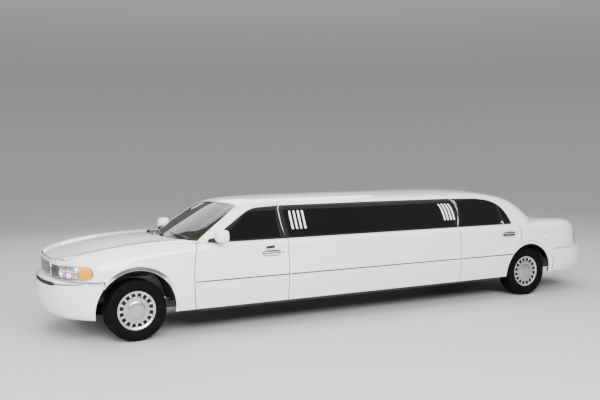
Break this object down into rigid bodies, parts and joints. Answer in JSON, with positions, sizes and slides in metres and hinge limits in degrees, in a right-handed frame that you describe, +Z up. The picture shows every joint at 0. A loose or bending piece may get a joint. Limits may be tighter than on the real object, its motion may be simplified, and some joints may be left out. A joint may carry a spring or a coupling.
{
  "type": "stretch limousine",
  "caption": "Long white saloon with a lengthened middle, hinged doors, hood and trunk lid, steered front wheels and four rolling wheels.",
  "frame": {"origin": "on the ground under the centre of the bounding box", "axes": "+X forward, +Y to the car's left, +Z up"},
  "size_m": [7.8638, 2.26, 1.4729],
  "materials": {
    "body_white": "gloss white paint",
    "glass_tinted": "dark privacy tint",
    "glass_clear": "slightly green laminated glass",
    "lamp_clear": "clear lens",
    "lamp_red": "red lens",
    "chrome": "polished",
    "tyre": "matt black",
    "wheel_silver": "silver with dark slots",
    "chassis_black": "satin black",
    "iron": "rough",
    "steel": "dull",
    "liner_black": "matt black",
    "dash_grey": "grained",
    "leather_black": "soft black leather",
    "wood": "lacquered veneer"
  },
  "bodies": {
    "root": {"bar_cabinet": "wood", "chassis_frame": "chassis_black", "cowl": "liner_black", "dashboard": "dash_grey", "drive_shaft": "steel", "engine": "iron", "exhaust": "steel", "firewall": "chassis_black", "floor_pan": "chassis_black", "front_bumper": "body_white", "front_fenders": "body_white", "front_seats": "leather_black", "front_suspension": "chassis_black", "fuel_tank": "chassis_black", "headlamps": "lamp_clear", "partition": "wood", "quarter_panels": "body_white", "radiator_support": "chassis_black", "rear_axle": "chassis_black", "rear_bumper": "body_white", "rear_panel": "chassis_black", "rear_seat": "leather_black", "rear_shelf": "liner_black", "rear_window": "glass_tinted", "roof": "body_white", "side_bench": "leather_black", "side_glass": "glass_tinted", "side_panels": "body_white", "sills": "chassis_black", "steering_wheel": "dash_grey", "tail_lamps": "lamp_red", "wheel_housings": "liner_black", "windshield": "glass_clear"},
    "hood_lid": {"hood": "body_white", "grille": "chrome"},
    "trunk": {"trunk_lid": "body_white"},
    "door_front_left": {"front_door_left": "body_white", "front_door_glass_left": "glass_tinted", "mirror_left": "body_white"},
    "door_front_right": {"front_door_right": "body_white", "front_door_glass_right": "glass_tinted", "mirror_right": "body_white"},
    "door_rear_left": {"rear_door_left": "body_white", "rear_door_glass_left": "glass_tinted"},
    "door_rear_right": {"rear_door_right": "body_white", "rear_door_glass_right": "glass_tinted"},
    "steer_left": {"knuckle_left": "iron"},
    "steer_right": {"knuckle_right": "iron"},
    "rolling_front_left": {"wheel_front_left": "wheel_silver", "tyre_front_left": "tyre"},
    "rolling_front_right": {"wheel_front_right": "wheel_silver", "tyre_front_right": "tyre"},
    "rolling_rear_left": {"wheel_rear_left": "wheel_silver", "tyre_rear_left": "tyre"},
    "rolling_rear_right": {"wheel_rear_right": "wheel_silver", "tyre_rear_right": "tyre"}
  },
  "joints": [
    {"name": "front_left_steer", "type": "hinge", "parent": "root", "child": "steer_left", "pos_m": [3.07694, 0.69, 0.333], "axis": [0, 0, 1], "range_deg": [-32, 32]},
    {"name": "front_right_steer", "type": "hinge", "parent": "root", "child": "steer_right", "pos_m": [3.07694, -0.69, 0.333], "axis": [0, 0, 1], "range_deg": [-32, 32]},
    {"name": "front_left_spin", "type": "hinge", "parent": "steer_left", "child": "rolling_front_left", "pos_m": [3.07694, 0.805, 0.333], "axis": [0, 1, 0], "continuous": true},
    {"name": "front_right_spin", "type": "hinge", "parent": "steer_right", "child": "rolling_front_right", "pos_m": [3.07694, -0.805, 0.333], "axis": [0, 1, 0], "continuous": true},
    {"name": "rear_left_spin", "type": "hinge", "parent": "root", "child": "rolling_rear_left", "pos_m": [-2.45307, 0.826, 0.333], "axis": [0, 1, 0], "continuous": true},
    {"name": "rear_right_spin", "type": "hinge", "parent": "root", "child": "rolling_rear_right", "pos_m": [-2.45307, -0.826, 0.333], "axis": [0, 1, 0], "continuous": true},
    {"name": "front_left_door_hinge", "type": "hinge", "parent": "root", "child": "door_front_left", "pos_m": [2.46193, 0.996, 0.6], "axis": [0, 0, -1], "range_deg": [0, 66]},
    {"name": "front_right_door_hinge", "type": "hinge", "parent": "root", "child": "door_front_right", "pos_m": [2.46193, -0.996, 0.6], "axis": [0, 0, 1], "range_deg": [0, 66]},
    {"name": "rear_left_door_hinge", "type": "hinge", "parent": "root", "child": "door_rear_left", "pos_m": [-1.24406, 0.998, 0.6], "axis": [0, 0, -1], "range_deg": [0, 66]},
    {"name": "rear_right_door_hinge", "type": "hinge", "parent": "root", "child": "door_rear_right", "pos_m": [-1.24406, -0.998, 0.6], "axis": [0, 0, 1], "range_deg": [0, 66]},
    {"name": "hood_hinge", "type": "hinge", "parent": "root", "child": "hood_lid", "pos_m": [2.43594, 0, 1.01], "axis": [0, -1, 0], "range_deg": [0, 52]},
    {"name": "trunk_hinge", "type": "hinge", "parent": "root", "child": "trunk", "pos_m": [-2.92107, 0, 1.016], "axis": [0, 1, 0], "range_deg": [0, 80]}
  ],
  "couplings": [
    {"joint": "front_right_steer", "follows": "front_left_steer", "ratio": 1}
  ]
}
